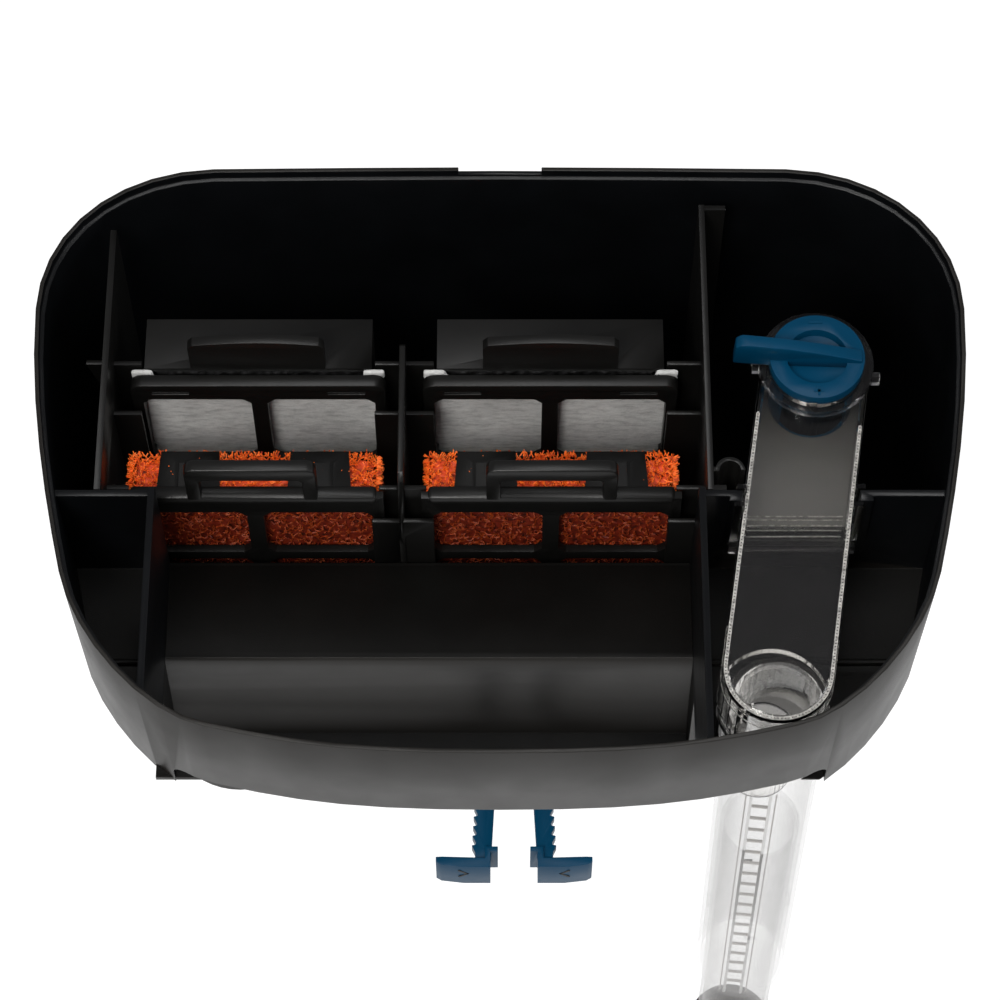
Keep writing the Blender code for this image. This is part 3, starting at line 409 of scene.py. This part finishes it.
def fine_copy(node, voxel, name):
    """A closed, evenly meshed copy of a CAD node's solid, as points and faces to reshape."""
    mesh = NODES[node].data.copy()
    piece = bpy.data.objects.new(name, mesh)
    bpy.context.scene.collection.objects.link(piece)
    remesh = piece.modifiers.new("remesh", "REMESH")
    remesh.mode = "VOXEL"
    remesh.voxel_size = voxel
    graph = bpy.context.evaluated_depsgraph_get()
    made = bpy.data.meshes.new_from_object(piece.evaluated_get(graph))
    piece.modifiers.clear()
    piece.data = made
    bpy.data.meshes.remove(mesh)
    return piece


def displaced(piece, offset):
    """Moves each point along its normal by offset(point, normal)."""
    mesh = piece.data
    normals = [v.normal.copy() for v in mesh.vertices]
    for vertex, normal in zip(mesh.vertices, normals):
        vertex.co += normal * offset(vertex.co, normal)
    mesh.update()


def struts(ends, radius):
    """Three-sided closed rods between pairs of points, as vertex and face lists."""
    a, b = ends[:, 0], ends[:, 1]
    along = b - a
    along /= np.linalg.norm(along, axis=1)[:, None]
    helper = np.where(np.abs(along[:, 2:3]) < 0.8, [[0.0, 0.0, 1.0]], [[1.0, 0.0, 0.0]])
    u = np.cross(along, helper)
    u /= np.linalg.norm(u, axis=1)[:, None]
    w = np.cross(along, u)
    turns = [2 * math.pi * k / 3 for k in range(3)]
    around = [radius * (math.cos(t) * u + math.sin(t) * w) for t in turns]
    verts = np.stack([end + off for end in (a, b) for off in around], axis=1).reshape(-1, 3)
    pattern = [(0, 1, 4, 3), (1, 2, 5, 4), (2, 0, 3, 5), (2, 1, 0), (3, 4, 5)]
    faces = [tuple(6 * i + k for k in face) for i in range(len(a)) for face in pattern]
    return verts.tolist(), faces


def foam_points(low, high, pitch, dice):
    """Scattered cell corners in a thin layer under each showing face of a block."""
    depth = 2.2 * MM
    points = []
    wide, deep, tall = high - low

    def x():
        return dice.uniform(low.x, high.x)

    def y():
        return dice.uniform(low.y, high.y)

    def z():
        return dice.uniform(low.z, high.z)

    def d():
        return dice.uniform(-0.2 * MM, depth)

    def count(area):
        return int(area * depth / (0.62 * pitch**3))

    for _ in range(count(wide * tall)):
        points.append((x(), low.y + d(), z()))
    for _ in range(count(wide * deep)):
        points.append((x(), y(), high.z - d()))
    for _ in range(count(tall * deep)):
        points.append((low.x + d(), y(), z()))
        points.append((high.x - d(), y(), z()))
    for _ in range(count(wide * tall) // 2):
        points.append((x(), high.y - d(), z()))
    return points


def foam_block(node, body, seed):
    """Reticulated foam: a core, painted darker than the net as painted shade among the pores, under a
    net of fine struts with loose ends.
    """
    dice = random.Random(seed)
    low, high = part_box(node)
    core = fine_copy(node, 1.6 * MM, node + "_core")
    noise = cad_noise(seed)
    displaced(core, lambda p, n: -1.1 * MM + 0.6 * MM * noise(p * 620))
    # Painted shade: the core takes the darker foam copy.
    core.data.materials.clear()
    core.data.materials.append(FOAM_CORE_PAINTED_SHADE.made)
    core.data.shade_smooth()
    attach(core, body)

    points = foam_points(low, high, FOAM_PITCH, dice)
    tree = kdtree.KDTree(len(points))
    for i, point in enumerate(points):
        tree.insert(point, i)
    tree.balance()
    pairs = set()
    for i, point in enumerate(points):
        for _, j, far in tree.find_n(point, 4)[1:]:
            if 0.4 * MM < far < 2.7 * MM:
                pairs.add((min(i, j), max(i, j)))
    ends = [(points[i], points[j]) for i, j in sorted(pairs)]
    for _ in range(LOOSE_STRANDS):
        side = dice.choice(("left", "right", "top", "top", "back"))
        x, y = dice.uniform(low.x, high.x), dice.uniform(low.y, high.y)
        z = high.z - dice.random() ** 2 * 30 * MM
        if side in ("left", "right"):
            x = low.x if side == "left" else high.x
            out = (-1 if side == "left" else 1, dice.uniform(-0.6, 0.6), dice.uniform(-0.6, 0.9))
        elif side == "top":
            z = high.z
            out = (dice.uniform(-0.9, 0.9), dice.uniform(-0.6, 0.6), 1)
        else:
            y, z = high.y, high.z - dice.random() ** 2 * 8 * MM
            out = (dice.uniform(-0.8, 0.8), 1, dice.uniform(-0.3, 0.9))
        reach = Vector(out).normalized() * dice.uniform(0.8, 2.3) * MM
        ends.append(((x, y, z), tuple(Vector((x, y, z)) + reach)))
    verts, faces = struts(np.array(ends), STRUT_R)
    net = new_piece(node + "_net", verts, faces, FOAM.made, body, "orange_foam")
    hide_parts(node)


# ---------------------------------------------------------------- fleece and carbon


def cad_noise(seed):
    shift = Vector((seed * 3.1, seed * 1.7, seed * 0.9))
    return lambda p: perlin.noise(p + shift)


def fleece_sheet(node, body, seed):
    """Needled felt: a soft uneven face, and a top edge let down between its two ears."""
    low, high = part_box(node)
    middle_x = (low.x + high.x) / 2
    felt = fine_copy(node, 0.8 * MM, node + "_felt")
    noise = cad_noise(seed)

    def swell(p, n):
        return 0.10 * MM * noise(p * 160) + 0.12 * MM * noise(p * 640)

    shoulder, ear = high.z - 4.6 * MM, high.x - middle_x - 7.2 * MM
    for vertex in felt.data.vertices:
        if abs(vertex.co.x - middle_x) < ear:
            vertex.co.z = min(vertex.co.z, shoulder)
    displaced(felt, swell)
    felt.data.materials.clear()
    felt.data.materials.append(FLEECE.made)
    felt.data.shade_smooth()
    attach(felt, body)
    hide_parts(node)


def carbon_bag(node, body, seed):
    """Granules of carbon packed in a net: a lumpy body that fills its box."""
    bag = fine_copy(node, 1.5 * MM, node + "_bag")
    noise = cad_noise(seed)
    displaced(bag, lambda p, n: -0.9 * MM + 0.7 * MM * noise(p * 380) + 0.3 * MM * noise(p * 800))
    bag.data.materials.clear()
    bag.data.materials.append(CARBON.made)
    bag.data.shade_smooth()
    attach(bag, body)
    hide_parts(node)


for number, side in enumerate(("left", "right")):
    foam_block(f"foam_block_{side}", f"foam_{side}", 11 + number)
    fleece_sheet(f"fleece_sheet_{side}", f"fleece_{side}", 31 + number)
    carbon_bag(f"carbon_media_{side}", f"fleece_{side}", 51 + number)


# ---------------------------------------------------------------- clear elbow and tubes


def elbow_shader():
    """Clear acrylic whose channel floor behind the wall's notch is painted near black and made nearly
    opaque, as painted shade from the dark compartment beneath.
    """
    s = clear("elbow_acrylic", (0.9, 0.89, 0.87), 0.02)
    place = s.axes()
    wall_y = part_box("divider_left")[0].y
    floor_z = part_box("intake_elbow")[1].z - 27.2 * MM
    behind = s.remap(place["Y"], 0.0, 1.0, wall_y - 0.6 * MM, wall_y + 0.2 * MM)
    below = s.remap(place["Z"], 1.0, 0.0, floor_z, floor_z + 0.4 * MM)
    above = s.remap(place["Z"], 0.0, 1.0, floor_z - 5 * MM, floor_z - 4 * MM)
    mask = s.remap(place["Y"], 0.45, 1.0, wall_y, wall_y + 50 * MM)
    for factor in (behind, below, above):
        node = s.tree.nodes.new("ShaderNodeMath")
        node.operation = "MULTIPLY"
        s.link(mask, node.inputs[0])
        s.link(factor, node.inputs[1])
        mask = node.outputs[0]
    # Painted shade: behind the wall, at the channel floor's level, the acrylic turns dark and nearly
    # opaque.
    s.link(s.remap(mask, 1.0, 0.12, 0.0, 1.0), s.bsdf.inputs["Transmission Weight"])
    painted_shade_colour = s.ramp(mask, [(0.0, (0.9, 0.89, 0.87)), (1.0, (0.034, 0.032, 0.027))])
    s.link(painted_shade_colour, s.bsdf.inputs["Base Color"])
    return s


def bright_edge_shader():
    """The weld bead and moulded edges of the clear parts, given a pale speckled colour and less
    transmission as a painted glint.
    """
    s = Shader("bright_edge", (0.62, 0.6, 0.56), 0.25)
    s.set("Transmission Weight", 0.35)
    s.set("IOR", ACRYLIC_IOR)
    # Painted highlight: the pale, speckled base colour stands in for light caught on the small edges.
    painted_glint_speckle = s.ramp(s.noise(700, 2), [(0.35, (0.36, 0.35, 0.33)), (0.65, (0.8, 0.78, 0.73))])
    s.link(painted_glint_speckle, s.bsdf.inputs["Base Color"])
    s.bump(s.cells(900), 0.5, 0.0002)
    return s


EDGE = bright_edge_shader()


def bar_faces():
    """The six faces of a bar whose points are four at one end, then four at the other."""
    sides = [(k, (k + 1) % 4, 4 + (k + 1) % 4, 4 + k) for k in range(4)]
    return [(3, 2, 1, 0), (4, 5, 6, 7)] + sides


def swept(path, half_wide, half_tall):
    """A flat-sided closed bar along a level path of points."""
    verts, faces = [], []
    count = len(path)
    for i, point in enumerate(path):
        ahead = path[min(i + 1, count - 1)] - path[max(i - 1, 0)]
        side = Vector((ahead.y, -ahead.x, 0)).normalized() * half_wide
        up = Vector((0, 0, half_tall))
        verts += [point - side - up, point + side - up, point + side + up, point - side + up]
    for i in range(count - 1):
        a, b = 4 * i, 4 * i + 4
        for k in range(4):
            faces.append((a + k, a + (k + 1) % 4, b + (k + 1) % 4, b + k))
    faces += [(3, 2, 1, 0), tuple(4 * (count - 1) + k for k in range(4))]
    return verts, faces


def merged(parts):
    verts, faces = [], []
    for more_verts, more_faces in parts:
        start = len(verts)
        verts += more_verts
        faces += [tuple(start + i for i in face) for face in more_faces]
    return verts, faces


def brick(centre, along, wide, long, tall):
    """A small bar centred on a point, turned along a level direction."""
    along = along.normalized() * long / 2
    return swept([centre - along, centre + along], wide / 2, tall / 2)


PUMP_AXIS = Vector((102.6, 67.0, 0)) * MM
END_AXIS = Vector((86.4, -40.8, 0)) * MM
ELBOW_TOP = 50.0 * MM
ELBOW_R = 17.7 * MM
COLLAR_R = 19.5 * MM
STRAIGHT_STEPS = 60
BEND_STEPS = 32
NOTCH_RIB_Z = 27.05 * MM
NOTCH_RIB_Y = (16.5, 18.7, 20.5, 22.5, 23.8)


def elbow_outline(radius, z):
    """The channel's outline from one side of the collar, round the front end, to the other."""
    run = (END_AXIS - PUMP_AXIS).normalized()
    side = Vector((-run.y, run.x, 0))
    length = (END_AXIS - PUMP_AXIS).length
    points = []
    for i in range(STRAIGHT_STEPS + 1):
        along = COLLAR_R + (length - COLLAR_R) * i / STRAIGHT_STEPS
        points.append(PUMP_AXIS + run * along - side * radius)
    for i in range(1, BEND_STEPS):
        a = math.pi * i / BEND_STEPS
        points.append(END_AXIS - side * radius * math.cos(a) + run * radius * math.sin(a))
    for i in range(STRAIGHT_STEPS + 1):
        back = (PUMP_AXIS - END_AXIS) * (1 - COLLAR_R / length) * i / STRAIGHT_STEPS
        points.append(END_AXIS + back + side * radius)
    return [point + Vector((0, 0, z)) for point in points]


def evenly(path, pitch):
    """Points and directions at even distances along a path."""
    placed, left = [], 0.0
    for a, b in zip(path, path[1:]):
        span = (b - a).length
        while left < span:
            placed.append((a + (b - a) * left / span, b - a))
            left += pitch
        left -= span
    return placed


def elbow_details():
    """The weld bead round the channel's top, a moulded line at its front and the notch's ribs."""
    paint("intake_elbow", elbow_shader())
    soften(NODES["intake_elbow"], 0.3 * MM, smooth=False)
    bead_path = elbow_outline(ELBOW_R - 1.15 * MM, ELBOW_TOP - 0.12 * MM)
    rails = [
        swept(elbow_outline(ELBOW_R - inset * MM, ELBOW_TOP - 0.25 * MM), 0.16 * MM, 0.16 * MM)
        for inset in (0.75, 1.6)
    ]
    beads = [brick(p, d, 0.55 * MM, 0.7 * MM, 0.42 * MM) for p, d in evenly(bead_path, 1.12 * MM)]
    front = elbow_outline(ELBOW_R - 0.15 * MM, ELBOW_TOP - 7 * MM)
    front = front[STRAIGHT_STEPS - 10 : STRAIGHT_STEPS + BEND_STEPS + 11]
    rails.append(swept(front, 0.2 * MM, 0.25 * MM))
    new_piece("elbow_weld_bead", *merged(rails + beads), EDGE.made, "elbow", "clear_plastic")

    run = (PUMP_AXIS - END_AXIS).normalized()
    across = Vector((1, 0, 0))
    bars = []
    for y in NOTCH_RIB_Y:
        centre = END_AXIS + run * ((y * MM - END_AXIS.y) / run.y) + Vector((0, 0, NOTCH_RIB_Z))
        bars.append(brick(centre, across, 0.3 * MM, 30.8 * MM, 0.4 * MM))
    new_piece("elbow_notch_ribs", *merged(bars), EDGE.made, "elbow", "clear_plastic")


elbow_details()


TUBE_PIVOT = Vector((88.2, -40.8, 7.5)) * MM
RUNG_PITCH, RUNGS = 10.9, 19
TOOTH_PITCH, TEETH = 1.4, 150


def ladder_details():
    """White rails, grey rungs and a fine row of teeth outside each rail, in the sliding tube."""
    white = moulded("ladder_rails", (0.78, 0.78, 0.77), 0.4, grain=0.1, spread=0.03)
    grey = moulded("ladder_rungs", (0.46, 0.44, 0.42), 0.4, grain=0.1, spread=0.1)
    lean = (
        Matrix.Translation(TUBE_PIVOT)
        @ Matrix.Rotation(math.radians(-0.92), 4, "Y")
        @ Matrix.Translation((0, 0, -TUBE_PIVOT.z))
        @ Matrix.Rotation(math.radians(-6), 4, "Z")
    )
    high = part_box("extension_tube")[1].z - 1.6 * MM

    def post(x, y, wide, deep, low_z, high_z):
        """An upright bar of the ladder, given about the tube's axis."""
        x, y, wide, deep = (v * MM for v in (x, y, wide / 2, deep / 2))
        low, top = (
            [Vector((x + i * wide, y + j * deep, z)) for i, j in ((-1, -1), (1, -1), (1, 1), (-1, 1))]
            for z in (low_z, high_z)
        )
        return [lean @ v for v in low + top], bar_faces()

    foot = high - 214 * MM
    rails = [post(side * 3.35, 11.7, 1.05, 0.7, foot, high) for side in (-1, 1)]
    rungs = []
    for i in range(RUNGS):
        top = high - (2.8 + RUNG_PITCH * i) * MM
        rungs.append(post(0, 11.6, 5.6, 0.9, top - 0.95 * MM, top + 0.05 * MM))
    teeth = []
    for side in (-1, 1):
        for i in range(TEETH):
            top = high - TOOTH_PITCH * i * MM
            teeth.append(post(side * 5.25, 10.75, 0.5, 0.3, top - 0.75 * MM, top))
    new_piece("ladder_rails", *merged(rails), white.made, "extension", "clear_plastic")
    new_piece("ladder_rungs", *merged(rungs + teeth), grey.made, "extension", "clear_plastic")


ladder_details()


# ---------------------------------------------------------------- small moulded marks


def dial_marks():
    """A raised minus at the back of the dial's ring and a plus at its front."""
    z = 57.05 * MM
    x_way, y_way = Vector((1, 0, 0)), Vector((0, 1, 0))
    back, front = (PUMP_AXIS + Vector((0, d * MM, z)) for d in (12.8, -12.8))
    bars = [brick(back, x_way, 0.9 * MM, 4.4 * MM, 0.4 * MM)]
    bars += [brick(front, way, 0.9 * MM, 3.4 * MM, 0.4 * MM) for way in (x_way, y_way)]
    new_piece("dial_marks", *merged(bars), BLUE.made, "knob", "blue_plastic")


CLAMP_X = 4.7 * MM


def pad_chevrons():
    """An arrow on each clamp pad that shows which way to squeeze."""
    for side, body in ((-1, "arm_left"), (1, "arm_right")):
        low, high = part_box("clamp_" + body)
        tip = CLAMP_X + side * 15.6 * MM
        z = (low.z + high.z) / 2 + 1.4 * MM
        bars = []
        for way in (-1, 1):
            a = Vector((tip, low.y - 0.02 * MM, z))
            b = Vector((tip + side * 2.6 * MM, low.y - 0.02 * MM, z + way * 2.6 * MM))
            along = (b - a).normalized() * 0.35 * MM
            verts = []
            for point in (a - along, b + along):
                up = Vector((along.z, 0, -along.x)).normalized() * 0.38 * MM
                out = Vector((0, 0.12 * MM, 0))
                verts += [point - up - out, point + up - out, point + up + out, point - up + out]
            bars.append((verts, bar_faces()))
        new_piece("pad_arrow_" + body, *merged(bars), RUBBER.made, body, "blue_plastic")


dial_marks()
pad_chevrons()


# ---------------------------------------------------------------- camera, light and floor


SIGHT = math.radians(62.5)
CAMERA_Y = -0.4519
CAMERA_ABOVE_RIM = 0.8912
FLOOR_DROP = 0.16


def softbox(name, place, target, size, power, color=(1, 1, 1)):
    """A rectangular soft light that faces its target."""
    light = bpy.data.lights.new(name, "AREA")
    light.shape = "RECTANGLE"
    light.size, light.size_y = size
    light.energy = power
    light.color = color
    lamp = bpy.data.objects.new(name, light)
    lamp.location = place
    lamp.rotation_euler = (Vector(target) - Vector(place)).to_track_quat("-Z", "Y").to_euler()
    bpy.context.scene.collection.objects.link(lamp)


def studio():
    """The camera, a white floor, a pale sky and three soft lights."""
    forward = Vector((0, math.cos(SIGHT), -math.sin(SIGHT)))
    up = Vector((0, math.sin(SIGHT), math.cos(SIGHT)))
    camera = bpy.data.objects.new("camera", bpy.data.cameras.new("camera"))
    camera.data.lens = 115.2
    camera.data.sensor_width = 36
    camera.data.clip_start = 0.01
    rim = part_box("filter_body")[1].z
    turned = Matrix((Vector((1, 0, 0)), up, -forward)).transposed().to_4x4()
    turned.translation = Vector((0, CAMERA_Y, rim + CAMERA_ABOVE_RIM))
    camera.matrix_world = turned
    bpy.context.scene.collection.objects.link(camera)
    bpy.context.scene.camera = camera
    bpy.context.scene.view_settings.view_transform = "Standard"

    floor_z = CAD_BOX[0].z - FLOOR_DROP  # below the tubes when they are drawn right out
    bpy.ops.mesh.primitive_plane_add(size=12, location=(0, 0, floor_z))
    floor = bpy.context.object
    floor.name = "floor"
    s = Shader("pale_floor", (0.3, 0.3, 0.3), 0.9, specular=0.0)
    s.set("Emission Color", (1, 1, 1, 1))
    s.set("Emission Strength", 0.93)
    floor.data.materials.append(s.made)

    world = bpy.data.worlds.new("studio")
    world.use_nodes = True
    nodes, links = world.node_tree.nodes, world.node_tree.links
    where = nodes.new("ShaderNodeTexCoord")
    split = nodes.new("ShaderNodeSeparateXYZ")
    ramp = nodes.new("ShaderNodeValToRGB")
    links.new(where.outputs["Generated"], split.inputs["Vector"])
    links.new(split.outputs["Z"], ramp.inputs["Fac"])
    links.new(ramp.outputs["Color"], nodes["Background"].inputs["Color"])
    ramp.color_ramp.elements[0].position = 0.04
    ramp.color_ramp.elements[0].color = (0.5, 0.5, 0.5, 1)
    ramp.color_ramp.elements[1].position = 0.5
    ramp.color_ramp.elements[1].color = (0.16, 0.16, 0.17, 1)
    nodes["Background"].inputs["Strength"].default_value = 1.0
    bpy.context.scene.world = world

    softbox("overhead", (0.1, 0.1, 1.6), (0, 0.02, 0), (0.9, 0.6), 9)
    softbox("key", (-0.35, -0.75, 1.25), (0, 0.02, 0), (0.5, 0.4), 13, (1, 0.985, 0.96))
    softbox("right", (1.2, -0.1, 0.7), (0, 0, 0), (0.3, 0.8), 3, (0.94, 0.96, 1))


studio()
